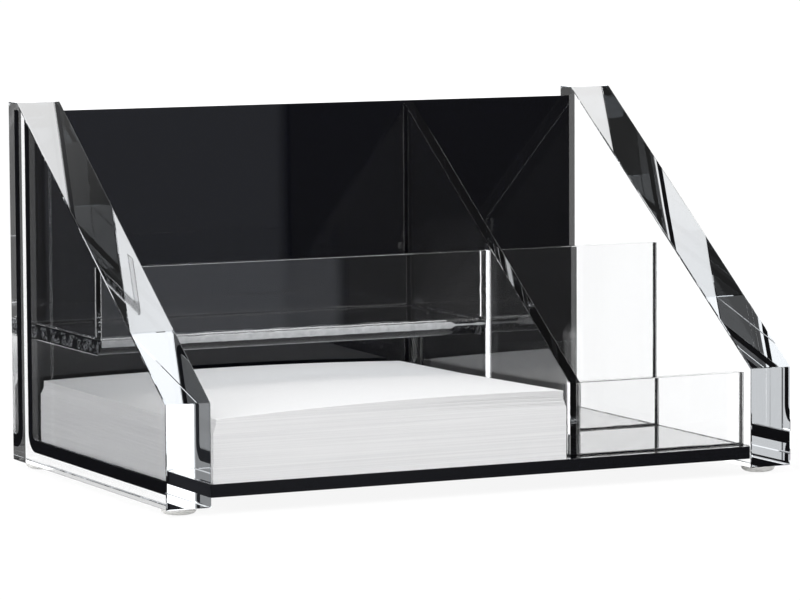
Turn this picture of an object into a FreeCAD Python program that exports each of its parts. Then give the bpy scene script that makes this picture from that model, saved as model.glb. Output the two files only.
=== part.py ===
import FreeCAD, Part
import os

os.makedirs("parts", exist_ok=True)

V = FreeCAD.Vector

# Desk tidy of cemented cast acrylic: two thick clear side slabs carry a black back and floor
# sheet, a clear divider, a raised tray, two clear cup walls and a stack of loose note paper.
# Sizes are in millimetres. X runs from the note bay on the left to the cups on the right,
# Y runs from the open front to the back, and Z is up. The origin is on the desk, under the
# middle of the tidy.

# Loose note paper, a stack of square sheets that spreads a little to each side
note_size = 101.6
note_spread = 1.1
note_left_gap = 0.7
note_right_gap = 2.7
note_front_setback = 0.4
note_rear_gap = 4.6
note_block_height = 16.2
note_front_rise = (0.7, 2.5, 1.8)
note_back_rise = (0.3, 1.5, 0.5)

# Side slabs
side_thickness = 12.7
side_height = 100.8
side_front_height = 27.5
side_top_flat = 6.9
side_arris = 0.3

# Feet, one pair under each slab
foot_diameter = 9.5
foot_height = 2.0
foot_rim_height = 0.7
foot_flat_diameter = 5.2
foot_shoulder_diameter = 8.4
foot_shoulder_height = 0.5
foot_inset = 7.0

# Black sheet, bent once, that makes the floor and the back
black_thickness = 3.5
black_bend_radius = 1.8
floor_lift = 2.5
floor_setback = 0.5
back_inset = 2.2
back_drop = 2.6

# Clear centre divider, its sloping edge parallel to the slabs'
divider_thickness = 3.2
divider_setback = 3.8
divider_front_height = 20.1
divider_relief = 0.5

# Clear cup walls in the right-hand bay
cup_width = 51.1
cup_wall_thickness = 3.2
cup_wall_height = 52.5
cup_depth = 49.8
low_wall_thickness = 3.2
low_wall_height = 20.2
low_wall_setback = 4.4

# Raised tray over the note paper
tray_sheet = 4.0
tray_depth = 48.4
tray_lift = 28.8
tray_height = 23.6
tray_nose_radius = 3.0

# Small bevel on every exposed edge of a thin sheet
edge_break = 0.2

# The note paper sets the width of its bay and the depth of the tidy
note_width = note_size + 2 * note_spread
note_bay_width = note_left_gap + note_width + note_right_gap
inside_width = note_bay_width + divider_thickness + cup_width
side_depth = note_front_setback + note_size + note_rear_gap + black_thickness + back_inset

# Places that the pieces share
left_face = -inside_width / 2
right_face = inside_width / 2
front = -side_depth / 2
back = side_depth / 2
slab_bottom = foot_height
floor_bottom = slab_bottom + floor_lift
floor_top = floor_bottom + black_thickness
panel_rear = back - back_inset
panel_front = panel_rear - black_thickness
panel_top = slab_bottom + side_height - back_drop
slope = (side_height - side_front_height) / (side_depth - side_top_flat)
divider_left = left_face + note_bay_width
divider_right = divider_left + divider_thickness
tray_bottom = floor_top + tray_lift
tray_wall_back = panel_front - tray_depth
note_left = left_face + note_left_gap
note_front = front + note_front_setback
note_block_top = floor_top + note_block_height


def side_face(points):
    """Flat face in the YZ plane at X = 0 from (y, z) corners."""
    corners = [V(0, y, z) for y, z in points]
    return Part.Face(Part.makePolygon(corners + corners[:1]))


def plate(points, x_from, x_to):
    """Sheet cut to a YZ outline, standing from one X to another."""
    face = side_face(points)
    face.translate(V(x_from, 0, 0))
    return face.extrude(V(x_to - x_from, 0, 0))


def long_edges_at(shape, places):
    """Straight edges along X that lie on one of the given (y, z) places."""
    found = []
    for edge in shape.Edges:
        start, end = (vertex.Point for vertex in edge.Vertexes)
        runs_along_x = abs(start.y - end.y) < 1e-6 and abs(start.z - end.z) < 1e-6
        if runs_along_x and any(abs(start.y - y) + abs(start.z - z) < 1e-6 for y, z in places):
            found.append(edge)
    return found


def broken(shape, places):
    """Take the sharpness off the long edges at the given places."""
    return shape.makeChamfer(edge_break, long_edges_at(shape, places))


def side_slab(x_inner, outward):
    """Thick polished slab with a sloping front edge and a fine arris all round."""
    outline = [
        (front, slab_bottom),
        (back, slab_bottom),
        (back, slab_bottom + side_height),
        (back - side_top_flat, slab_bottom + side_height),
        (front, slab_bottom + side_front_height),
    ]
    slab = plate(outline, x_inner, x_inner + outward * side_thickness)
    return slab.makeChamfer(side_arris, slab.Edges)


def foot(x, y):
    """Domed bumper stuck under a slab, its dome worn to a small flat on the desk."""
    base_radius = foot_diameter / 2
    flat_radius = foot_flat_diameter / 2
    rim_bottom = foot_height - foot_rim_height
    top_centre = V(0, 0, foot_height)
    top_rim = V(base_radius, 0, foot_height)
    lower_rim = V(base_radius, 0, rim_bottom)
    shoulder = V(foot_shoulder_diameter / 2, 0, foot_shoulder_height)
    flat_rim = V(flat_radius, 0, 0)
    desk_centre = V(0, 0, 0)
    dome = Part.Arc(lower_rim, shoulder, flat_rim)
    profile = Part.Wire([
        Part.makeLine(desk_centre, top_centre),
        Part.makeLine(top_centre, top_rim),
        Part.makeLine(top_rim, lower_rim),
        dome.toShape(),
        Part.makeLine(flat_rim, desk_centre),
    ])
    bumper = Part.Face(profile).revolve(V(0, 0, 0), V(0, 0, 1), 360)
    bumper.translate(V(x, y, 0))
    return bumper


def back_and_floor_sheet():
    """One black sheet: floor, line bend at the rear bottom, and upright back."""
    floor_front = front + floor_setback
    outline = [
        (floor_front, floor_bottom),
        (panel_rear, floor_bottom),
        (panel_rear, panel_top),
        (panel_front, panel_top),
        (panel_front, floor_top),
        (floor_front, floor_top),
    ]
    sheet = plate(outline, left_face, right_face)
    sheet = sheet.makeFillet(black_bend_radius, long_edges_at(sheet, [(panel_front, floor_top)]))
    outer_radius = black_bend_radius + black_thickness
    sheet = sheet.makeFillet(outer_radius, long_edges_at(sheet, [(panel_rear, floor_bottom)]))
    cut_edges = [
        (floor_front, floor_bottom),
        (floor_front, floor_top),
        (panel_rear, panel_top),
        (panel_front, panel_top),
    ]
    return broken(sheet, cut_edges)


def centre_divider():
    """Upright sheet between the bays, cut parallel to the slabs' slope."""
    divider_front = front + divider_setback
    crease_height = floor_top + divider_front_height
    rear_height = crease_height + slope * (panel_front - divider_front)
    outline = [
        (divider_front, floor_top),
        (panel_front, floor_top),
        (panel_front, rear_height),
        (divider_front, crease_height),
    ]
    sheet = plate(outline, divider_left, divider_right)
    heel = long_edges_at(sheet, [(panel_front, floor_top)])
    sheet = sheet.makeFillet(black_bend_radius + divider_relief, heel)
    exposed = []
    for edge in sheet.Edges:
        middle = edge.CenterOfMass
        on_a_face = abs(middle.x - (divider_left + divider_right) / 2) > divider_thickness / 4
        on_front = abs(middle.y - divider_front) < 1e-6
        on_slope = abs(middle.z - (crease_height + slope * (middle.y - divider_front))) < 1e-6
        if on_a_face and (on_front or on_slope):
            exposed.append(edge)
    return sheet.makeChamfer(edge_break, exposed)


def cross_wall(y_front, thickness, height):
    """Upright clear wall on the floor, from the divider to the right-hand slab."""
    wall = Part.makeBox(right_face - divider_right, thickness, height)
    wall.translate(V(divider_right, y_front, floor_top))
    top = floor_top + height
    return broken(wall, [(y_front, top), (y_front + thickness, top)])


def tray_floor():
    """Tray bottom from the back panel forward, with a rounded lower nose."""
    nose = tray_wall_back - tray_sheet
    sheet = Part.makeBox(note_bay_width, panel_front - nose, tray_sheet)
    sheet.translate(V(left_face, nose, tray_bottom))
    return sheet.makeFillet(tray_nose_radius, long_edges_at(sheet, [(nose, tray_bottom)]))


def tray_front_wall():
    """Tray front, cemented along the top of the tray floor's front edge."""
    wall_front = tray_wall_back - tray_sheet
    wall = Part.makeBox(note_bay_width, tray_sheet, tray_height - tray_sheet)
    wall.translate(V(left_face, wall_front, tray_bottom + tray_sheet))
    top = tray_bottom + tray_height
    return broken(wall, [(wall_front, top), (tray_wall_back, top)])


def note_paper_block():
    """Flat lower part of the loose stack of square note sheets."""
    block = Part.makeBox(note_width, note_size, note_block_height)
    block.translate(V(note_left, note_front, floor_top))
    return block


def crown_section(y, rise):
    """Closed XZ outline of the curled sheets: flat below, an arc above."""
    left_rise, middle_rise, right_rise = rise
    low_left = V(note_left, y, note_block_top)
    low_right = V(note_left + note_width, y, note_block_top)
    high_left = low_left + V(0, 0, left_rise)
    high_middle = low_left + V(note_width / 2, 0, middle_rise)
    high_right = low_right + V(0, 0, right_rise)
    return Part.Wire([
        Part.makeLine(low_left, low_right),
        Part.makeLine(low_right, high_right),
        Part.Arc(high_right, high_middle, high_left).toShape(),
        Part.makeLine(high_left, low_left),
    ])


def curled_top_sheets():
    """Top sheets of the stack, which have taken a slight crown."""
    sections = [
        crown_section(note_front, note_front_rise),
        crown_section(note_front + note_size, note_back_rise),
    ]
    return Part.makeLoft(sections, True, True)


parts = {
    "left_side_slab": side_slab(left_face, -1),
    "right_side_slab": side_slab(right_face, 1),
    "back_and_floor_sheet": back_and_floor_sheet(),
    "centre_divider": centre_divider(),
    "tray_floor": tray_floor(),
    "tray_front_wall": tray_front_wall(),
    "cup_front_wall": cross_wall(
        panel_front - cup_depth - cup_wall_thickness, cup_wall_thickness, cup_wall_height),
    "low_front_wall": cross_wall(front + low_wall_setback, low_wall_thickness, low_wall_height),
    "note_paper_block": note_paper_block(),
    "curled_top_sheets": curled_top_sheets(),
}

foot_x = inside_width / 2 + side_thickness / 2
foot_y = side_depth / 2 - foot_inset
for end, y in (("front", -foot_y), ("rear", foot_y)):
    for side, x in (("left", -foot_x), ("right", foot_x)):
        parts[f"foot_{end}_{side}"] = foot(x, y)

for name, shape in parts.items():
    shape.exportStep(f"parts/{name}.step")
    print(name, "valid" if shape.isValid() else "not valid", round(shape.Volume, 1), "mm3")
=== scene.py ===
import bmesh
import bpy
import math
import random
from mathutils import Matrix, Vector


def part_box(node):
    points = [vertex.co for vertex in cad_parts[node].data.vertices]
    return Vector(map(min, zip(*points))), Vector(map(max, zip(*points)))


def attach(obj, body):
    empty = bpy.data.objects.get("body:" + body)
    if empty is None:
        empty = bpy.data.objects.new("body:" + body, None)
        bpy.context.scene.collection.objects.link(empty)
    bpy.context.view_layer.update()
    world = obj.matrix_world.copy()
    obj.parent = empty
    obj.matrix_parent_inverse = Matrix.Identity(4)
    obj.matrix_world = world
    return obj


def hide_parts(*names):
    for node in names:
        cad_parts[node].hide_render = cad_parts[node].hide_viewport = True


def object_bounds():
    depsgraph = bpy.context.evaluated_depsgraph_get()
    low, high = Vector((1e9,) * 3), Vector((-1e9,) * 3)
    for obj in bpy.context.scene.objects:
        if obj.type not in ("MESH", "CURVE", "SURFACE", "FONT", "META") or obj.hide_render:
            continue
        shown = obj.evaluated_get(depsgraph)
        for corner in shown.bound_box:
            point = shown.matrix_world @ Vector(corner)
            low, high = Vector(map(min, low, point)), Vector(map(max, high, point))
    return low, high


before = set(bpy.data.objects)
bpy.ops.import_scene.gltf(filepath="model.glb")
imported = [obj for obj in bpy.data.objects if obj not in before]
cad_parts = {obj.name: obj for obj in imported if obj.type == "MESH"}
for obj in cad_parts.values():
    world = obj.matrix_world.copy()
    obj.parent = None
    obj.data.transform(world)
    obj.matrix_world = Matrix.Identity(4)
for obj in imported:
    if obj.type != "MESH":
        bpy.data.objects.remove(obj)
cad_box = [list(corner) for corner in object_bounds()]

# Camera
# A long lens, low and to the left of the tidy, as a catalogue photograph is taken. It has a
# slight roll, and the frame is 4 to 3.
AZIMUTH = math.radians(-25.64)
ELEVATION = math.radians(5.613)
ROLL = math.radians(-0.306)
LENS_MM = 192.3
SENSOR_MM = 36.0
CAMERA_PLACE = (-0.51150, -1.06710, 0.16381)
NEAREST_SEEN = 0.05
FARTHEST_SEEN = 50.0

camera_data = bpy.data.cameras.new("camera")
camera_data.sensor_width = SENSOR_MM
camera_data.lens = LENS_MM
camera_data.clip_start = NEAREST_SEEN
camera_data.clip_end = FARTHEST_SEEN
camera = bpy.data.objects.new("camera", camera_data)
backward = Vector((
    math.sin(AZIMUTH) * math.cos(ELEVATION),
    -math.cos(AZIMUTH) * math.cos(ELEVATION),
    math.sin(ELEVATION)))
level_right = Vector((0, 0, 1)).cross(backward).normalized()
level_up = backward.cross(level_right)
right = level_right * math.cos(ROLL) + level_up * math.sin(ROLL)
up = backward.cross(right)
turn = Matrix((right, up, backward)).transposed().to_4x4()
camera.matrix_world = Matrix.Translation(CAMERA_PLACE) @ turn
bpy.context.collection.objects.link(camera)
bpy.context.scene.camera = camera

# Studio
# A white table in a white surround with two soft lights. Gloss and clear acrylic also see what
# a studio has outside the picture: a dark gap behind and to the left, a dim room in front with
# one pale reflector card in it, and an unlit ceiling.
SURROUND_LEVEL = 0.5
KEY_FROM = (-0.25, -0.40, 0.882)
KEY_LEVEL = 2.0
SIDE_FILL_FROM = (-0.96, -0.15, 0.236)
SIDE_FILL_LEVEL = 3.1
LIGHT_EDGE = 0.78
LIGHT_FADE = 0.17
TABLE_REACH = 6.0
TABLE_GAP = 0.00002
TABLE_TONE = 0.9
TABLE_GLOW = 1.03
TABLE_GLOW_SHARE = 0.88
CARD_Y = -1.8
CARD_LEFT = 0.63
CARD_RIGHT = 0.821
CARD_REACH = 1.0
CARD_COLOUR = (0.88, 0.92, 1.0, 1.0)
CARD_LEVEL = 0.46
CARD_FADE = 0.012

scene = bpy.context.scene
scene.view_settings.view_transform = "Standard"
scene.cycles.max_bounces = 32
scene.cycles.glossy_bounces = 20
scene.cycles.transmission_bounces = 28
scene.cycles.transparent_max_bounces = 24


def add_node(tree, kind, **settings):
    """New shader node with its properties set by name."""
    node = tree.nodes.new(kind)
    for key, value in settings.items():
        setattr(node, key, value)
    return node


def maths(tree, operation, *values, clamp=False):
    """Math node whose inputs are sockets or numbers. Returns its output."""
    node = add_node(tree, "ShaderNodeMath", operation=operation, use_clamp=clamp)
    for socket, value in zip(node.inputs, values):
        if isinstance(value, (int, float)):
            socket.default_value = value
        else:
            tree.links.new(value, socket)
    return node.outputs[0]


def parts_of(tree, vector):
    """X, Y and Z of a vector, as sockets."""
    node = add_node(tree, "ShaderNodeSeparateXYZ")
    tree.links.new(vector, node.inputs[0])
    return node.outputs


def object_place(tree):
    """Place on the object, in its own metres."""
    return add_node(tree, "ShaderNodeTexCoord").outputs["Object"]


def within(tree, angle, low, high, soft):
    """1 where an angle in degrees is between low and high, fading over the soft width."""
    rising = maths(tree, "DIVIDE", maths(tree, "SUBTRACT", angle, low), soft, clamp=True)
    falling = maths(tree, "DIVIDE", maths(tree, "SUBTRACT", high, angle), soft, clamp=True)
    return maths(tree, "MULTIPLY", rising, falling)


def changed(tree, level, new_level, share):
    """Move a level toward a new one by a share."""
    change = maths(tree, "MULTIPLY", share, maths(tree, "SUBTRACT", new_level, level))
    return maths(tree, "ADD", level, change)


def build_surround():
    """World: white to the eye, with zones of its own for gloss and clear, and lights for matt."""
    world = bpy.data.worlds.new("surround")
    scene.world = world
    world.use_nodes = True
    tree = world.node_tree
    tree.nodes.clear()
    toward = add_node(tree, "ShaderNodeTexCoord").outputs["Generated"]
    x, y, z = parts_of(tree, toward)
    bearing = maths(tree, "DEGREES", maths(tree, "ARCTAN2", x, y))
    height = maths(tree, "DEGREES", maths(tree, "ARCSINE", z))
    light_path = add_node(tree, "ShaderNodeLightPath")
    mirrorings = light_path.outputs["Glossy Depth"]
    # What a ray has met: gloss, a clear piece, either of them, only an outer surface, and the
    # inside of a clear piece two or more times, or four or more
    mirrored = maths(tree, "MINIMUM", mirrorings, 1.0)
    through = light_path.outputs["Is Transmission Ray"]
    either = maths(tree, "MAXIMUM", mirrored, through)
    surface = maths(tree, "SUBTRACT", mirrored, maths(tree, "MULTIPLY", mirrored, through))
    deep = maths(tree, "MULTIPLY", maths(tree, "GREATER_THAN", mirrorings, 1.5), through)
    deepest = maths(tree, "MULTIPLY", maths(tree, "GREATER_THAN", mirrorings, 3.5), through)
    # Bearings run clockwise from straight behind the tidy, and heights up from the horizon.
    # Each zone: who sees it, bearing from and to, height from and to, soft edge, level
    zones = [
        # The lit backdrop, the table behind the tidy, and the wall over the backdrop
        (either, -4, 70, -20, 24, 6, 1.27),
        (mirrored, -4, 70, -20, 24, 6, 2.0),
        (either, 5, 70, -70, -18, 5, 0.74),
        (either, 27, 70, -70, -18, 3, 0.9),
        (either, 5, 70, 22, 75, 5, 1.15),
        # The dark gap behind and to the left: low, high, and level with the tidy
        (mirrored, -75, -4, -62, -16, 3, 0.01),
        (mirrored, -75, -4, 22, 75, 3, 0.07),
        (mirrored, -75, -4, -16, 22, 2, 0.03),
        # The same gap after two or more reflections inside a clear piece
        (deep, -75, -26, -16, 22, 1, 0.65),
        (deep, -27, -4, -16, 22, 1, 0.24),
        # The dim room in front, to the right and to the left
        (mirrored, 95, 172, -60, 30, 2, 0.1),
        (mirrored, -172, -95, -60, 30, 2, 0.45),
        # The backdrop again, dulled by many reflections
        (deepest, 29.6, 70, -20, 24, 0.4, 0.65),
        # The unlit ceiling on the right
        (surface, 50, 115, 40, 84, 6, 0.08),
    ]
    level = 1.0
    for seen_by, from_bearing, to_bearing, from_height, to_height, soft, zone_level in zones:
        mask = maths(
            tree, "MULTIPLY",
            within(tree, bearing, from_bearing, to_bearing, soft),
            within(tree, height, from_height, to_height, soft))
        level = changed(tree, level, zone_level, maths(tree, "MULTIPLY", mask, seen_by))
    # Matt things are lit by a dim surround and two soft lights
    matt_level = SURROUND_LEVEL
    for light_from, light_level in ((KEY_FROM, KEY_LEVEL), (SIDE_FILL_FROM, SIDE_FILL_LEVEL)):
        nearness = add_node(tree, "ShaderNodeVectorMath", operation="DOT_PRODUCT")
        nearness.inputs[1].default_value = light_from
        tree.links.new(toward, nearness.inputs[0])
        pool = maths(tree, "SUBTRACT", nearness.outputs["Value"], LIGHT_EDGE)
        pool = maths(tree, "DIVIDE", pool, LIGHT_FADE, clamp=True)
        matt_level = maths(tree, "ADD", matt_level, maths(tree, "MULTIPLY", pool, light_level))
    matt = maths(tree, "MINIMUM", light_path.outputs["Diffuse Depth"], 1.0)
    level = changed(tree, level, matt_level, matt)
    background = add_node(tree, "ShaderNodeBackground")
    background.inputs["Color"].default_value = (1.0, 1.0, 1.0, 1.0)
    tree.links.new(level, background.inputs["Strength"])
    output = add_node(tree, "ShaderNodeOutputWorld")
    tree.links.new(background.outputs[0], output.inputs["Surface"])


def placed(name, mesh):
    """Object that shows a mesh."""
    piece = bpy.data.objects.new(name, mesh)
    bpy.context.collection.objects.link(piece)
    return piece


def from_faces(name, corners, faces):
    """Object made of the given corners and faces."""
    mesh = bpy.data.meshes.new(name)
    mesh.from_pydata(corners, [], faces)
    return placed(name, mesh)


def flat_plane(name, corners):
    """Single four-sided plane through the given corners."""
    return from_faces(name, corners, [(0, 1, 2, 3)])


def new_material(name):
    """New material. Returns it with its node tree and its Principled shader."""
    material = bpy.data.materials.new(name)
    material.use_nodes = True
    tree = material.node_tree
    return material, tree, tree.nodes["Principled BSDF"]


def bare_material(name):
    """New material without a shader. Returns it with its node tree."""
    material, tree, shader = new_material(name)
    tree.nodes.remove(shader)
    return material, tree


def show_blend(tree, share, first, second):
    """Blend two shaders and show the result. The share is the second one's."""
    mix = add_node(tree, "ShaderNodeMixShader")
    tree.links.new(share, mix.inputs["Fac"])
    tree.links.new(first.outputs[0], mix.inputs[1])
    tree.links.new(second.outputs[0], mix.inputs[2])
    tree.links.new(mix.outputs[0], tree.nodes["Material Output"].inputs["Surface"])


def build_floor():
    """White table top that keeps a faint contact shadow and is otherwise white to the eye."""
    z = cad_box[0][2] - TABLE_GAP
    corners = [(x * TABLE_REACH, y * TABLE_REACH, z) for x, y in ((-1, -1), (1, -1), (1, 1), (-1, 1))]
    floor = flat_plane("table_top", corners)
    material, tree = bare_material("white_table")
    diffuse = add_node(tree, "ShaderNodeBsdfDiffuse")
    diffuse.inputs["Color"].default_value = (TABLE_TONE, TABLE_TONE, TABLE_TONE, 1.0)
    glow = add_node(tree, "ShaderNodeEmission")
    glow.inputs["Strength"].default_value = TABLE_GLOW
    light_path = add_node(tree, "ShaderNodeLightPath")
    share = maths(tree, "MULTIPLY", light_path.outputs["Is Camera Ray"], TABLE_GLOW_SHARE)
    show_blend(tree, share, diffuse, glow)
    floor.data.materials.append(material)
    floor.visible_glossy = False
    floor.visible_transmission = False


def build_card():
    """Reflector card in front of the tidy, seen only as a reflection, its right edge soft."""
    ends = ((CARD_LEFT, -1), (CARD_RIGHT, -1), (CARD_RIGHT, 1), (CARD_LEFT, 1))
    card = flat_plane("reflector_card", [(x, CARD_Y, z * CARD_REACH) for x, z in ends])
    card.visible_camera = False
    card.visible_diffuse = False
    card.visible_shadow = False
    material, tree = bare_material("card")
    glow = add_node(tree, "ShaderNodeEmission")
    glow.inputs["Color"].default_value = CARD_COLOUR
    inward = maths(tree, "SUBTRACT", CARD_RIGHT, parts_of(tree, object_place(tree))["X"])
    fade = maths(tree, "DIVIDE", inward, CARD_FADE, clamp=True)
    tree.links.new(maths(tree, "MULTIPLY", fade, CARD_LEVEL), glow.inputs["Strength"])
    light_path = add_node(tree, "ShaderNodeLightPath")
    mirrored = maths(tree, "MINIMUM", light_path.outputs["Glossy Depth"], 1.0)
    show_blend(tree, mirrored, add_node(tree, "ShaderNodeBsdfTransparent"), glow)
    card.data.materials.append(material)


build_surround()
build_floor()
build_card()

# Side slabs
# Half inch cast acrylic, cut to a slope, flame bright on every face with a fine arris. The two
# slabs carry everything else, cemented between them.
SLAB_FRONT_HEIGHT = 0.0275
SLAB_TOP_FLAT = 0.0069
SLAB_ARRIS = 0.00028
SLAB_WAVE = 0.003
WAVE_DEPTH = 0.0002
CLEAR_WAVES = 38.0
HAZE_SCALE = 420.0
HAZE_DETAIL = 4.0
ACRYLIC_IOR = 1.491
ACRYLIC_ROUGHNESS = 0.001
ACRYLIC_DEPTH_COLOUR = (0.62, 0.76, 0.9, 1.0)
ACRYLIC_DENSITY = 2.2
BEVEL_STEPS = 2
BEVELLED_FROM = math.radians(25)
CRISP_FROM = math.radians(18)


def noise(tree, place, scale, detail=2.0):
    """Noise texture at a place, its scale a number or a socket. Returns its value."""
    texture = add_node(tree, "ShaderNodeTexNoise")
    texture.inputs["Detail"].default_value = detail
    if isinstance(scale, float):
        texture.inputs["Scale"].default_value = scale
    else:
        tree.links.new(scale, texture.inputs["Scale"])
    tree.links.new(place, texture.inputs["Vector"])
    return texture.outputs["Fac"]


def handling_marks():
    """Group: the faint wipe marks and hairlines of handled acrylic, as a height and a mask."""
    group = bpy.data.node_groups.new("handling_marks", "ShaderNodeTree")
    group.interface.new_socket("Scale", in_out="INPUT", socket_type="NodeSocketFloat")
    group.interface.new_socket("Height", in_out="OUTPUT", socket_type="NodeSocketFloat")
    group.interface.new_socket("Mask", in_out="OUTPUT", socket_type="NodeSocketFloat")
    inputs = add_node(group, "NodeGroupInput")
    outputs = add_node(group, "NodeGroupOutput")
    place = object_place(group)
    swell = noise(group, place, inputs.outputs["Scale"], 0.0)
    haze = noise(group, place, HAZE_SCALE, HAZE_DETAIL)
    group.links.new(swell, outputs.inputs["Height"])
    group.links.new(maths(group, "MULTIPLY", swell, haze), outputs.inputs["Mask"])
    return group


marks = handling_marks()


def use_marks(tree, scale):
    """Place the handling marks group in a material. Returns its height and its mask."""
    node = add_node(tree, "ShaderNodeGroup", node_tree=marks)
    node.inputs["Scale"].default_value = scale
    return node.outputs["Height"], node.outputs["Mask"]


def bump_from(tree, height, strength, distance):
    """Bump node fed by a height. Returns its normal."""
    bump = add_node(tree, "ShaderNodeBump")
    bump.inputs["Strength"].default_value = strength
    bump.inputs["Distance"].default_value = distance
    tree.links.new(height, bump.inputs["Height"])
    return bump.outputs["Normal"]


def ranged(tree, value, low, high):
    """Spread a 0 to 1 value over low to high."""
    spread = add_node(tree, "ShaderNodeMapRange")
    spread.inputs["To Min"].default_value = low
    spread.inputs["To Max"].default_value = high
    tree.links.new(value, spread.inputs["Value"])
    return spread.outputs["Result"]


def clear_acrylic(name, wave):
    """Clear cast acrylic: bright, very slightly uneven, faintly blue in thickness."""
    material, tree, shader = new_material(name)
    shader.inputs["Base Color"].default_value = (1.0, 1.0, 1.0, 1.0)
    shader.inputs["Transmission Weight"].default_value = 1.0
    shader.inputs["IOR"].default_value = ACRYLIC_IOR
    height, mask = use_marks(tree, CLEAR_WAVES)
    tree.links.new(ranged(tree, mask, 0.0, ACRYLIC_ROUGHNESS), shader.inputs["Roughness"])
    tree.links.new(bump_from(tree, height, wave, WAVE_DEPTH), shader.inputs["Normal"])
    volume = add_node(tree, "ShaderNodeVolumeAbsorption")
    volume.inputs["Color"].default_value = ACRYLIC_DEPTH_COLOUR
    volume.inputs["Density"].default_value = ACRYLIC_DENSITY
    tree.links.new(volume.outputs[0], tree.nodes["Material Output"].inputs["Volume"])
    return material


def prism(name, outline, x_from, x_to, bevel=0.0):
    """Solid of a (y, z) outline between two X, its edges bevelled."""
    bm = bmesh.new()
    ring = [bm.verts.new((x_from, y, z)) for y, z in outline]
    base = bm.faces.new(ring)
    pulled = bmesh.ops.extrude_face_region(bm, geom=[base])
    moved = [item for item in pulled["geom"] if isinstance(item, bmesh.types.BMVert)]
    bmesh.ops.translate(bm, verts=moved, vec=(x_to - x_from, 0, 0))
    bmesh.ops.recalc_face_normals(bm, faces=bm.faces)
    if bevel:
        sharp = [edge for edge in bm.edges if edge.calc_face_angle(0) > BEVELLED_FROM]
        bmesh.ops.bevel(
            bm, geom=sharp, offset=bevel, segments=BEVEL_STEPS, profile=0.5, affect="EDGES")
    return finished(name, bm)


def finished(name, bm):
    """Turn a bmesh into an object whose gentle bends are smooth and whose edges are crisp."""
    mesh = bpy.data.meshes.new(name)
    bm.to_mesh(mesh)
    bm.free()
    mesh.shade_smooth()
    mesh.set_sharp_from_angle(angle=CRISP_FROM)
    piece = placed(name, mesh)
    even = piece.modifiers.new("even_shading", "WEIGHTED_NORMAL")
    even.weight = 100
    even.keep_sharp = True
    return piece


def fit_out(piece, material, body, slot_name, *nodes):
    """Give a piece its finish and its body, and hide the CAD nodes that it stands for. The slot name is
    not used.
    """
    piece.data.materials.append(material)
    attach(piece, body)
    if nodes:
        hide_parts(*nodes)


def slab_outline(low, high):
    """Side view of a slab: upright back, short flat top, slope, short upright front."""
    return [
        (low.y, low.z),
        (high.y, low.z),
        (high.y, high.z),
        (high.y - SLAB_TOP_FLAT, high.z),
        (low.y, low.z + SLAB_FRONT_HEIGHT),
    ]


slab_acrylic = clear_acrylic("slab_acrylic", SLAB_WAVE)
for side in ("left", "right"):
    low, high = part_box(f"{side}_side_slab")
    slab = prism(f"{side}_slab", slab_outline(low, high), low.x, high.x, SLAB_ARRIS)
    fit_out(slab, slab_acrylic, "tidy", "clear_slab", f"{side}_side_slab")

low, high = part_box("left_side_slab")
slab_front = low.y
left_inner = high.x
right_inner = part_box("right_side_slab")[0].x
slope = (high.z - low.z - SLAB_FRONT_HEIGHT) / (high.y - low.y - SLAB_TOP_FLAT)

# Black back and floor
# One sheet of glossy black acrylic, line bent at the rear bottom. Its sawn ends are cemented
# to the slabs, so the cement wets them and they show black through the clear slab.
BLACK_THICKNESS = 0.0035
BEND_RADIUS = 0.0018
BEND_STEPS = 12
BLACK_BREAK = 0.00015
CEMENT_GRIP = 0.00008
BLACK_COLOUR = (0.0026, 0.0028, 0.0050, 1.0)
BLACK_ROUGHNESS = (0.005, 0.03)
BLACK_WAVES = 24.0
BLACK_WAVE = 0.01
SQUARE_ON = 0.9
SAWN_ROUGHNESS = 0.22


def arc_points(centre, radius, start, end, steps):
    """Points of a circular arc in the (y, z) plane, angles in degrees."""
    points = []
    for step in range(steps + 1):
        angle = math.radians(start + (end - start) * step / steps)
        points.append((centre[0] + radius * math.cos(angle), centre[1] + radius * math.sin(angle)))
    return points


def facing(tree):
    """X, Y and Z of the direction that a face looks in, as sockets."""
    return parts_of(tree, add_node(tree, "ShaderNodeNewGeometry").outputs["True Normal"])


def glossy_black(floor_height):
    """Black cast acrylic: a deep gloss with a trace of haze and waviness, sawn in front."""
    material, tree, shader = new_material("black_acrylic")
    shader.inputs["Base Color"].default_value = BLACK_COLOUR
    shader.inputs["IOR"].default_value = ACRYLIC_IOR
    looks = facing(tree)
    wetted_end = maths(tree, "GREATER_THAN", maths(tree, "ABSOLUTE", looks["X"]), SQUARE_ON)
    gloss = maths(tree, "MULTIPLY", maths(tree, "SUBTRACT", 1.0, wetted_end), 0.5)
    tree.links.new(gloss, shader.inputs["Specular IOR Level"])
    low_down = maths(tree, "LESS_THAN", parts_of(tree, object_place(tree))["Z"], floor_height)
    front_edge = maths(tree, "MULTIPLY", maths(tree, "LESS_THAN", looks["Y"], -SQUARE_ON), low_down)
    sawn = maths(tree, "MULTIPLY", front_edge, SAWN_ROUGHNESS)
    height, mask = use_marks(tree, BLACK_WAVES)
    roughness = maths(tree, "ADD", ranged(tree, mask, *BLACK_ROUGHNESS), sawn)
    tree.links.new(roughness, shader.inputs["Roughness"])
    tree.links.new(bump_from(tree, height, BLACK_WAVE, WAVE_DEPTH), shader.inputs["Normal"])
    return material


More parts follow.
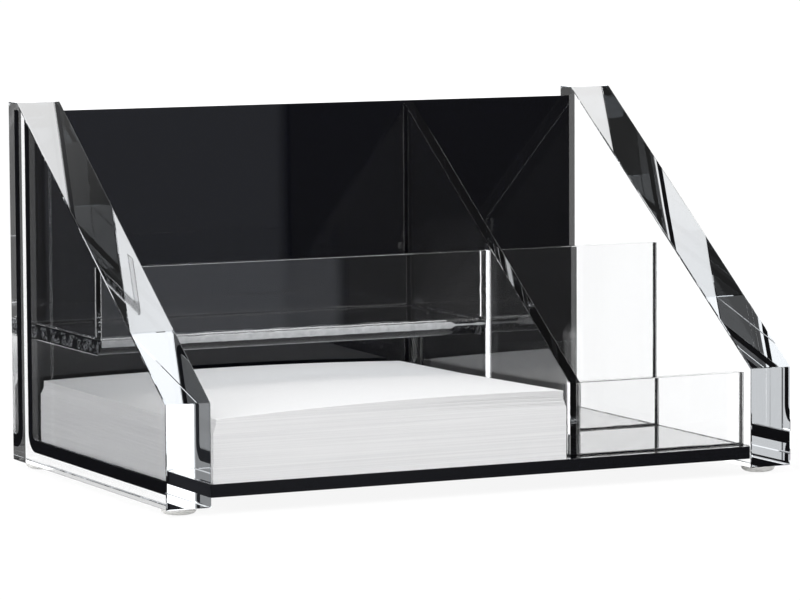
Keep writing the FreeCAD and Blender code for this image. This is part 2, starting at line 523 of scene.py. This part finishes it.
low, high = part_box("back_and_floor_sheet")
floor_top = low.z + BLACK_THICKNESS
panel_front = high.y - BLACK_THICKNESS
bend_centre = (panel_front - BEND_RADIUS, floor_top + BEND_RADIUS)
black_outline = [(low.y, low.z)]
black_outline += arc_points(bend_centre, BEND_RADIUS + BLACK_THICKNESS, -90, 0, BEND_STEPS)
black_outline += [(high.y, high.z), (panel_front, high.z)]
black_outline += arc_points(bend_centre, BEND_RADIUS, 0, -90, BEND_STEPS)
black_outline += [(low.y, floor_top)]
black_sheet = prism(
    "black_sheet", black_outline, left_inner - CEMENT_GRIP, right_inner + CEMENT_GRIP, BLACK_BREAK)
fit_out(black_sheet, glossy_black(floor_top), "tidy", "black_sheet", "back_and_floor_sheet")

# Centre divider
# Eighth inch clear sheet between the note bay and the cups, cemented to the floor and the
# back, with its front edge cut parallel to the slabs.
DIVIDER_FRONT_HEIGHT = 0.0201
DIVIDER_HEEL = 0.0023
HEEL_STEPS = 6
SHEET_BREAK = 0.00018
SHEET_WAVE = 0.004

sheet_acrylic = clear_acrylic("sheet_acrylic", SHEET_WAVE)
low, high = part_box("centre_divider")
divider_left = low.x
divider_right = high.x
foot_z = floor_top - CEMENT_GRIP
rear_y = panel_front + CEMENT_GRIP
crease = floor_top + DIVIDER_FRONT_HEIGHT
rear_height = crease + slope * (rear_y - low.y)
heel_centre = (panel_front - DIVIDER_HEEL, floor_top + DIVIDER_HEEL)
divider_outline = [(low.y, foot_z), (heel_centre[0], foot_z)]
divider_outline += arc_points(heel_centre, DIVIDER_HEEL, -90, 0, HEEL_STEPS)[1:-1]
divider_outline += [(rear_y, heel_centre[1]), (rear_y, rear_height), (low.y, crease)]
divider = prism("divider", divider_outline, low.x, high.x, SHEET_BREAK)
fit_out(divider, sheet_acrylic, "tidy", "clear_sheet", "centre_divider")

# Cup walls
# Two clear cross walls between the divider and the right-hand slab: a tall one in front of the
# pen cup and a low one at the front edge. Their ends are cemented to both.
WALL_END_GAP = 0.00003


def upright(low, high, foot_z):
    """Side view of an upright wall that fills a box from its foot up."""
    return [(low.y, foot_z), (high.y, foot_z), (high.y, high.z), (low.y, high.z)]


for name, node in (("cup_wall", "cup_front_wall"), ("low_wall", "low_front_wall")):
    low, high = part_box(node)
    wall = prism(
        name, upright(low, high, foot_z), low.x - CEMENT_GRIP, high.x - WALL_END_GAP, SHEET_BREAK)
    fit_out(wall, sheet_acrylic, "tidy", "clear_sheet", node)

# Raised tray
# A clear floor with a rounded lower nose and a clear front wall cemented on top of it, set
# between the left-hand slab and the divider, over the rear half of the paper. The room's soft
# light falls through both on to the paper.
TRAY_NOSE = 0.0030
NOSE_STEPS = 8
TRAY_PASSES = (0.96, 0.965, 0.97, 1.0)


def light_through(material):
    """Let the soft light that matt things see fall straight through a clear material."""
    tree = material.node_tree
    light_path = add_node(tree, "ShaderNodeLightPath")
    falling = maths(
        tree, "MAXIMUM",
        light_path.outputs["Is Shadow Ray"],
        light_path.outputs["Is Diffuse Ray"])
    passing = add_node(tree, "ShaderNodeBsdfTransparent")
    passing.inputs["Color"].default_value = TRAY_PASSES
    show_blend(tree, falling, tree.nodes["Principled BSDF"], passing)
    return material


tray_acrylic = light_through(clear_acrylic("tray_acrylic", SHEET_WAVE))
tray_low, tray_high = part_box("tray_floor")
tray_left = tray_low.x - CEMENT_GRIP
tray_right = tray_high.x + CEMENT_GRIP
nose_centre = (tray_low.y + TRAY_NOSE, tray_low.z + TRAY_NOSE)
tray_outline = arc_points(nose_centre, TRAY_NOSE, 180, 270, NOSE_STEPS)
tray_outline += [(rear_y, tray_low.z), (rear_y, tray_high.z), (tray_low.y, tray_high.z)]
tray_base = prism("tray_base", tray_outline, tray_left, tray_right)
fit_out(tray_base, tray_acrylic, "tidy", "clear_sheet", "tray_floor")

low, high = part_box("tray_front_wall")
wall_back = high.y
wall_top = high.z
tray_wall = prism(
    "tray_wall", upright(low, high, low.z - CEMENT_GRIP), tray_left, tray_right, SHEET_BREAK)
fit_out(tray_wall, tray_acrylic, "tidy", "clear_sheet", "tray_front_wall")

# Cement
# Thin clear cement that bonds the joints: small uneven fillets where it squeezed out, droplets
# beside the tray's seams, a milky bead along the tray's front, and films with tiny bubbles at
# the tray's ends. It wets the black sheet, which has no gloss under a bonded edge.
FILLET = 0.0004
THIN_FILLET = 0.0003
TRAY_FILLET = 0.0007
FILLET_STEP = 0.003
FILLET_UNEVEN = 0.25
FILLET_END = 0.001
BOND = 0.00001
SMALL_DROPLET = 0.0001
LARGE_DROPLET = 0.0003
DROPLET_FLATNESS = 0.4
FLOOR_DROPLETS = 34
FLOOR_SPLASH = (0.0006, 0.004)
FRONT_DROPLETS = 40
FRONT_SPLASH = 0.012
CORNER_DROPLETS = 12
CORNER_CLIMB = 0.019
BACK_DROPLETS = 22
BACK_HEIGHTS = (0.032, 0.064)
BESIDE_SEAM = (0.0003, 0.0012)
BLOB_HEIGHT = 0.058
BLOB_RADIUS = 0.0011
BEAD_DEPTH = 0.00035
BEAD_DROP = 0.0019
BEAD_STEPS = 90
BEAD_SIDES = 6
BEAD_END_GAP = 0.0001
BEAD_THINS_AT = 0.9
BEAD_TONES = ((0.33, 0.34, 0.355, 1.0), (0.65, 0.66, 0.675, 1.0))
BEAD_PATCH_SCALE = 700.0
BOND_SKIN = 0.00003
BOND_TONES = ((0.002, 0.002, 0.004, 1.0), (0.006, 0.006, 0.009, 1.0))
BOND_PATCH_SCALE = 400.0
FILM_INSET = 0.0003
BUBBLE_SCALE = 2600.0
BUBBLE_SIZE = 0.4
BUBBLE_COLOUR = (0.42, 0.43, 0.45, 1.0)
BUBBLE_PATCH_SCALE = 260.0
BUBBLE_PATCH_FROM = 0.43
BUBBLE_PATCH_EDGE = 9.0


def skin_rings(bm, rings):
    """Close a tube over rings of equal length, with a face at each end."""
    count = len(rings[0])
    for first, second in zip(rings, rings[1:]):
        for index in range(count):
            after = (index + 1) % count
            bm.faces.new((first[index], first[after], second[after], second[index]))
    bm.faces.new(rings[0])
    bm.faces.new(list(reversed(rings[-1])))


def fillet_strip(bm, dice, start, end, side_a, side_b, size):
    """Concave strip along a joint. The two sides point away from the corner."""
    start, end = Vector(start), Vector(end)
    steps = max(2, round((end - start).length / FILLET_STEP))
    rings = []
    for step in range(steps + 1):
        here = start.lerp(end, step / steps)
        reach = size * dice.uniform(1 - FILLET_UNEVEN, 1 + FILLET_UNEVEN)
        ring = [here - (side_a + side_b) * BOND]
        for degrees in (270, 240, 210, 180):
            angle = math.radians(degrees)
            along_a = reach * (1 + math.cos(angle)) - BOND
            along_b = reach * (1 + math.sin(angle)) - BOND
            ring.append(here + side_a * along_a + side_b * along_b)
        rings.append([bm.verts.new(point) for point in ring])
    skin_rings(bm, rings)


def cemented_joints():
    """Every joint with squeezed-out cement: from, to, the two sides away from it, and size."""
    x, y, z = Vector((1, 0, 0)), Vector((0, 1, 0)), Vector((0, 0, 1))
    joints = []
    for node in ("cup_front_wall", "low_front_wall"):
        low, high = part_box(node)
        for wall_y, away in ((low.y, -y), (high.y, y)):
            joints.append(((low.x, wall_y, floor_top), (high.x, wall_y, floor_top), away, z, FILLET))
            for end_x, inward in ((divider_right, x), (right_inner, -x)):
                foot, head = (end_x, wall_y, floor_top), (end_x, wall_y, high.z)
                joints.append((foot, head, inward, away, THIN_FILLET))
    divider_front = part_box("centre_divider")[0].y
    for face_x, away in ((divider_left, -x), (divider_right, x)):
        front, rear = (face_x, divider_front, floor_top), (face_x, panel_front, floor_top)
        foot = (face_x, panel_front, floor_top + DIVIDER_HEEL)
        head = (face_x, panel_front, rear_height - FILLET_END)
        joints.append((front, rear, away, z, THIN_FILLET))
        joints.append((foot, head, away, -y, THIN_FILLET))
    for face_x, away in ((left_inner, x), (right_inner, -x)):
        front = (face_x, slab_front + FILLET_END, floor_top)
        rear = (face_x, panel_front - BEND_RADIUS, floor_top)
        joints.append((front, rear, away, z, THIN_FILLET))
    low, high = tray_low, tray_high
    for end_x, inward in ((left_inner, x), (divider_left, -x)):
        joints.append(((end_x, wall_back, high.z), (end_x, panel_front, high.z), inward, z, TRAY_FILLET))
        nose = (end_x, low.y + TRAY_NOSE, low.z)
        joints.append((nose, (end_x, panel_front, low.z), inward, -z, TRAY_FILLET))
        joints.append(((end_x, wall_back, high.z), (end_x, wall_back, wall_top), inward, y, TRAY_FILLET))
        joints.append(((end_x, low.y, high.z), (end_x, low.y, wall_top), inward, -y, THIN_FILLET))
    for seam_y, seam_z, along, upward in (
            (wall_back, high.z, y, z), (panel_front, high.z, -y, z), (panel_front, low.z, -y, -z)):
        joints.append(((low.x, seam_y, seam_z), (high.x, seam_y, seam_z), along, upward, TRAY_FILLET))
    return joints


def droplet(bm, place, radius, flat_axis):
    """Clear droplet, flattened along one axis."""
    scale = Vector((1, 1, 1))
    scale[flat_axis] = DROPLET_FLATNESS
    turn = Matrix.Translation(place) @ Matrix.Diagonal(scale).to_4x4()
    bmesh.ops.create_icosphere(bm, subdivisions=2, radius=radius, matrix=turn)


def spray_droplets(bm, dice):
    """Droplets beside the tray's seams."""
    low, high = tray_low, tray_high
    skin_y = low.y - DROPLET_FLATNESS * SMALL_DROPLET
    # On the tray's floor, behind its wall
    for count in range(FLOOR_DROPLETS):
        place = (
            dice.uniform(low.x + FILLET_END, high.x - FILLET_END),
            wall_back + dice.uniform(*FLOOR_SPLASH),
            high.z)
        droplet(bm, place, dice.uniform(SMALL_DROPLET, LARGE_DROPLET), 2)
    # On the tray's front, larger toward the divider
    for count in range(FRONT_DROPLETS):
        away = dice.uniform(0.0, 1.0)
        rise = dice.uniform(0.2, 1.2)
        x = high.x - BESIDE_SEAM[0] - away * FRONT_SPLASH
        size = dice.uniform(SMALL_DROPLET, 0.00032) * (1.3 - away)
        droplet(bm, (x, skin_y, low.z + rise * (high.z - low.z)), size, 1)
    # Up the tray wall's right-hand end
    for count in range(CORNER_DROPLETS):
        x = high.x - dice.uniform(0.0004, BESIDE_SEAM[1])
        place = (x, skin_y, high.z + dice.uniform(0, CORNER_CLIMB))
        droplet(bm, place, dice.uniform(SMALL_DROPLET, 0.00022), 1)
    # On the black back beside the divider, with one larger blob
    for count in range(BACK_DROPLETS):
        x = divider_left - dice.uniform(*BESIDE_SEAM)
        place = (x, panel_front, dice.uniform(*BACK_HEIGHTS))
        droplet(bm, place, dice.uniform(0.00012, LARGE_DROPLET), 1)
    droplet(bm, (divider_left - BESIDE_SEAM[1], panel_front, BLOB_HEIGHT), BLOB_RADIUS, 1)


def cement_fillets():
    """All the squeezed-out cement, as one mesh."""
    dice = random.Random(5)
    bm = bmesh.new()
    for joint in cemented_joints():
        fillet_strip(bm, dice, *joint)
    spray_droplets(bm, dice)
    bmesh.ops.recalc_face_normals(bm, faces=bm.faces)
    return finished("cement_fillets", bm)


def joint_bead():
    """Milky bead along the tray's front joint, thinning out toward the divider."""
    dice = random.Random(8)
    first_x = tray_low.x + BEAD_END_GAP
    length = tray_high.x - tray_low.x - 2 * BEAD_END_GAP
    bm = bmesh.new()
    rings = []
    for step in range(BEAD_STEPS + 1):
        share = step / BEAD_STEPS
        size = dice.uniform(0.92, 1.06)
        if share > BEAD_THINS_AT:
            size *= dice.uniform(0.15, 0.5)
        ring = []
        for part in range(BEAD_SIDES + 1):
            angle = math.radians(180 * part / BEAD_SIDES)
            y = tray_low.y - BOND - BEAD_DEPTH * size * math.sin(angle)
            z = tray_high.z - BEAD_DROP / 2 * (1 + size * math.cos(angle))
            ring.append(bm.verts.new((first_x + length * share, y, z)))
        rings.append(ring)
    skin_rings(bm, rings)
    bmesh.ops.recalc_face_normals(bm, faces=bm.faces)
    return finished("joint_bead", bm)


def between_tones(tree, share, first, second):
    """Colour between two tones, by a share. Returns its socket."""
    tone = add_node(tree, "ShaderNodeMix", data_type="RGBA")
    tone.inputs["A"].default_value = first
    tone.inputs["B"].default_value = second
    tree.links.new(share, tone.inputs["Factor"])
    return tone.outputs["Result"]


def milky_cement():
    """Cement that whitened as it set, with clearer patches."""
    material, tree, shader = new_material("milky_cement")
    shader.inputs["IOR"].default_value = ACRYLIC_IOR
    shader.inputs["Roughness"].default_value = 0.25
    shader.inputs["Transmission Weight"].default_value = 0.1
    patches = noise(tree, object_place(tree), BEAD_PATCH_SCALE)
    colour = between_tones(tree, patches, *BEAD_TONES)
    tree.links.new(colour, shader.inputs["Base Color"])
    return material


def bubbly_film():
    """Cement film: clear, with pale specks where air stayed in it."""
    material, tree = bare_material("cement_film")
    place = object_place(tree)
    specks = add_node(tree, "ShaderNodeTexVoronoi")
    specks.inputs["Scale"].default_value = BUBBLE_SCALE
    tree.links.new(place, specks.inputs["Vector"])
    dots = maths(tree, "LESS_THAN", specks.outputs["Distance"], BUBBLE_SIZE)
    patches = noise(tree, place, BUBBLE_PATCH_SCALE)
    patches = maths(tree, "SUBTRACT", patches, BUBBLE_PATCH_FROM)
    where = maths(tree, "MULTIPLY", patches, BUBBLE_PATCH_EDGE, clamp=True)
    pale = add_node(tree, "ShaderNodeBsdfDiffuse")
    pale.inputs["Color"].default_value = BUBBLE_COLOUR
    clear = add_node(tree, "ShaderNodeBsdfTransparent")
    show_blend(tree, maths(tree, "MULTIPLY", dots, where), clear, pale)
    return material


def bonded_black():
    """Black sheet wetted by cement, which has no gloss of its own under the clear piece."""
    material, tree, shader = new_material("bonded_black")
    shader.inputs["Specular IOR Level"].default_value = 0.0
    patches = noise(tree, object_place(tree), BOND_PATCH_SCALE)
    colour = between_tones(tree, patches, *BOND_TONES)
    tree.links.new(colour, shader.inputs["Base Color"])
    return material


def bond_patches():
    """Where clear pieces are cemented to the black sheet, as faces just inside the clear ones."""
    corners = []
    lift = floor_top + BOND_SKIN
    skin = panel_front - BOND_SKIN
    for node in ("cup_front_wall", "low_front_wall", "centre_divider"):
        low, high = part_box(node)
        rear = min(high.y, heel_centre[0])
        ends = ((low.x, low.y), (high.x, low.y), (high.x, rear), (low.x, rear))
        corners += [(x, y, lift) for x, y in ends]
    for node, base in (("centre_divider", heel_centre[1]), ("tray_floor", tray_low.z)):
        low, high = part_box(node)
        ends = ((low.x, base), (high.x, base), (high.x, high.z), (low.x, high.z))
        corners += [(x, skin, z) for x, z in ends]
    faces = [tuple(range(first, first + 4)) for first in range(0, len(corners), 4)]
    return from_faces("bond_patches", corners, faces)


fit_out(bond_patches(), bonded_black(), "tidy", "black_sheet")
fit_out(joint_bead(), milky_cement(), "tidy", "clear_sheet")
fit_out(cement_fillets(), sheet_acrylic, "tidy", "clear_sheet")
film_material = bubbly_film()
film_low = (tray_low.y + FILM_INSET, tray_low.z + FILM_INSET)
film_high = (tray_high.y, tray_high.z - FILM_INSET)
for end, film_x in (
        ("left", tray_low.x - CEMENT_GRIP / 2), ("right", tray_high.x + CEMENT_GRIP / 2)):
    corners = [(film_x, *film_low), (film_x, film_high[0], film_low[1])]
    corners += [(film_x, *film_high), (film_x, film_low[0], film_high[1])]
    fit_out(flat_plane(f"cement_film_{end}", corners), film_material, "tidy", "clear_sheet")

# Note paper
# A loose stack of square white sheets, a little out of line with each other, the upper ones
# with a slight crown. It slides out of the front of its bay.
SHEETS = 118
SHEET_SIZE = 0.1016
PAPER_SPREAD = 0.0011
PAPER_INSET = 0.00015
PAPER_SETBACK = 0.0004
PAPER_REST = 0.00001
SHEET_TURN = 0.0004
SHEET_BOTTOM = 0.04
SHEET_TOP = 0.9
FIRST_CURLED = 92
SLIDING_SHEETS = 14
CURL_STEP = 0.00014
CURL_FROM = 0.35
CURL_TO = 0.6
GRID = 10
FRONT_RISE = (0.0169, 0.0187, 0.0180)
BACK_RISE = (0.0170, 0.0178, 0.0167)
FIBRE_SCALE = 900.0
FIBRE_DEPTH = 0.00004
EDGE_LINE_SCALE = (14.0, 14.0, 2600.0)
FACE_TONES = ((0.87, 0.875, 0.885, 1.0), (0.92, 0.923, 0.93, 1.0))
# Greyer tones of the cut edges: painted shade between the sheets
SHADED_EDGE_TONES = ((0.75, 0.75, 0.76, 1.0), (0.85, 0.85, 0.855, 1.0))


def note_paper():
    """Matt white bond paper with a fine fibre grain; its cut edges are painted greyer than its faces as
    painted shade between the sheets, and finely lined.
    """
    material, tree, shader = new_material("note_paper")
    shader.inputs["Roughness"].default_value = 0.75
    shader.inputs["Specular IOR Level"].default_value = 0.25
    place = object_place(tree)
    fibre = noise(tree, place, FIBRE_SCALE, 5.0)
    layers = add_node(tree, "ShaderNodeMapping")
    layers.inputs["Scale"].default_value = EDGE_LINE_SCALE
    tree.links.new(place, layers.inputs["Vector"])
    line_range = add_node(tree, "ShaderNodeMapRange")
    line_range.inputs["From Min"].default_value = 0.3
    line_range.inputs["From Max"].default_value = 0.7
    tree.links.new(noise(tree, layers.outputs["Vector"], 1.0), line_range.inputs["Value"])
    # Faces that look up or down get the fibre tones; the upright cut edges get the greyer tones, painted
    # shade between the sheets.
    flat = maths(tree, "GREATER_THAN", maths(tree, "ABSOLUTE", facing(tree)["Z"]), 0.6)
    both = add_node(tree, "ShaderNodeMix", data_type="RGBA")
    tree.links.new(flat, both.inputs["Factor"])
    tree.links.new(between_tones(tree, line_range.outputs["Result"], *SHADED_EDGE_TONES), both.inputs["A"])
    tree.links.new(between_tones(tree, fibre, *FACE_TONES), both.inputs["B"])
    tree.links.new(both.outputs["Result"], shader.inputs["Base Color"])
    tree.links.new(bump_from(tree, fibre, 0.2, FIBRE_DEPTH), shader.inputs["Normal"])
    return material


def through_three(values, share):
    """Parabola through three values at shares 0, a half and 1."""
    first, middle, last = values
    a = 2 * first - 4 * middle + 2 * last
    b = -3 * first + 4 * middle - last
    return a * share * share + b * share + first


def stack_height(across, along):
    """Height of the stack's top over the floor sheet, at shares of its width and depth."""
    front_height = through_three(FRONT_RISE, across)
    rear_height = through_three(BACK_RISE, across)
    return front_height + (rear_height - front_height) * along


def sheet_faces(base):
    """Faces of one sheet: its two grids of points, from a first point on, and its rim."""
    row_length = GRID + 1
    count = row_length ** 2
    faces = []
    for row in range(GRID):
        for column in range(GRID):
            a = base + row * row_length + column
            b, c, d = a + 1, a + row_length + 1, a + row_length
            faces.append((a, d, c, b))
            faces.append((a + count, b + count, c + count, d + count))
    rim = [base + column for column in range(GRID)]
    rim += [base + row * row_length + GRID for row in range(GRID)]
    rim += [base + GRID * row_length + column for column in range(GRID, 0, -1)]
    rim += [base + row * row_length for row in range(GRID, 0, -1)]
    for here, after in zip(rim, rim[1:] + rim[:1]):
        faces.append((here, after, after + count, here + count))
    return faces


def wander(dice, drift):
    """Next drift of a stack's edge, a small random step from the last and within 1."""
    return max(-1.0, min(1.0, drift + dice.uniform(-0.15, 0.15)))


def paper_stack():
    """Every sheet as its own thin crowned solid, in one mesh."""
    low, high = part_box("note_paper_block")
    dice = random.Random(11)
    points, faces = [], []
    drift_x, drift_y, curl = 0.0, 0.0, 0.0
    for sheet in range(SHEETS):
        faces += sheet_faces(len(points))
        drift_x = wander(dice, drift_x)
        drift_y = wander(dice, drift_y)
        shift_x = (drift_x * 0.1 + dice.uniform(-0.05, 0.05)) * PAPER_SPREAD
        shift_y = (0.5 + drift_y * 0.2 + dice.uniform(-0.1, 0.1)) * PAPER_SETBACK
        turned = dice.uniform(-SHEET_TURN, SHEET_TURN)
        if sheet > FIRST_CURLED and dice.random() < 0.5:
            curl += dice.uniform(0.6, 1.4) * CURL_STEP
        # The curled sheets lie closer in than the flat ones, which fill the block's width
        slid = min(1.0, max(0, sheet - FIRST_CURLED) / SLIDING_SHEETS)
        inset = PAPER_INSET + (PAPER_SPREAD - PAPER_INSET) * slid
        width = high.x - low.x - 2 * inset
        start_x = low.x + inset + shift_x
        for level in (sheet + SHEET_BOTTOM, sheet + SHEET_TOP):
            for row in range(GRID + 1):
                for column in range(GRID + 1):
                    across, along = column / GRID, row / GRID
                    x = start_x + across * width + turned * (along - 0.5) * SHEET_SIZE
                    y = low.y + shift_y + (along - turned * (across - 0.5)) * SHEET_SIZE
                    z = floor_top + PAPER_REST + stack_height(across, along) * level / SHEETS
                    z += curl * max(0.0, across - CURL_FROM) * max(0.0, CURL_TO - along)
                    points.append((x, y, z))
    return from_faces("paper_stack", points, faces)


fit_out(
    paper_stack(), note_paper(), "note_paper", "note_paper", "note_paper_block", "curled_top_sheets")

# Feet
# Four soft milky bumpers stuck under the slabs, domed, with the dome pressed flat on the desk.
FOOT_FLAT = 0.0026
FOOT_DOME_SHARE = 0.65
FOOT_GAP = 0.00002
FOOT_TURNS = 48
DOME_STEPS = 8
FOOT_COLOUR = (0.93, 0.925, 0.9, 1.0)
FOOT_IOR = 1.45
CLOUD_SCALE = 500.0
CLOUD_DEPTH = 0.0001


def milky_rubber():
    """Soft translucent bumper plastic, cloudy white."""
    material, tree, shader = new_material("bumper")
    shader.inputs["Base Color"].default_value = FOOT_COLOUR
    shader.inputs["Transmission Weight"].default_value = 0.2
    shader.inputs["IOR"].default_value = FOOT_IOR
    cloud = noise(tree, object_place(tree), CLOUD_SCALE)
    tree.links.new(ranged(tree, cloud, 0.22, 0.4), shader.inputs["Roughness"])
    tree.links.new(bump_from(tree, cloud, 0.1, CLOUD_DEPTH), shader.inputs["Normal"])
    return material


def bumper(name, low, high):
    """Dome turned about its upright axis, upside down under the slab."""
    radius = (high.x - low.x) / 2
    dome_height = (high.z - low.z) * FOOT_DOME_SHARE
    centre_x, centre_y = (low.x + high.x) / 2, (low.y + high.y) / 2
    section = [(FOOT_FLAT * 0.5, low.z), (FOOT_FLAT, low.z)]
    for step in range(1, DOME_STEPS + 1):
        angle = math.radians(90 * step / DOME_STEPS)
        r = FOOT_FLAT + (radius - FOOT_FLAT) * math.sin(angle)
        section.append((r, low.z + dome_height * (1 - math.cos(angle))))
    section.append((radius, high.z - FOOT_GAP))
    bm = bmesh.new()
    rings = []
    for r, z in section:
        ring = []
        for step in range(FOOT_TURNS):
            angle = 2 * math.pi * step / FOOT_TURNS
            place = (centre_x + r * math.cos(angle), centre_y + r * math.sin(angle), z)
            ring.append(bm.verts.new(place))
        rings.append(ring)
    skin_rings(bm, rings)
    bmesh.ops.recalc_face_normals(bm, faces=bm.faces)
    return finished(name, bm)


bumper_rubber = milky_rubber()
for end in ("front", "rear"):
    for side in ("left", "right"):
        low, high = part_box(f"foot_{end}_{side}")
        piece = bumper(f"bumper_{end}_{side}", low, high)
        fit_out(piece, bumper_rubber, "tidy", "bumper", f"foot_{end}_{side}")
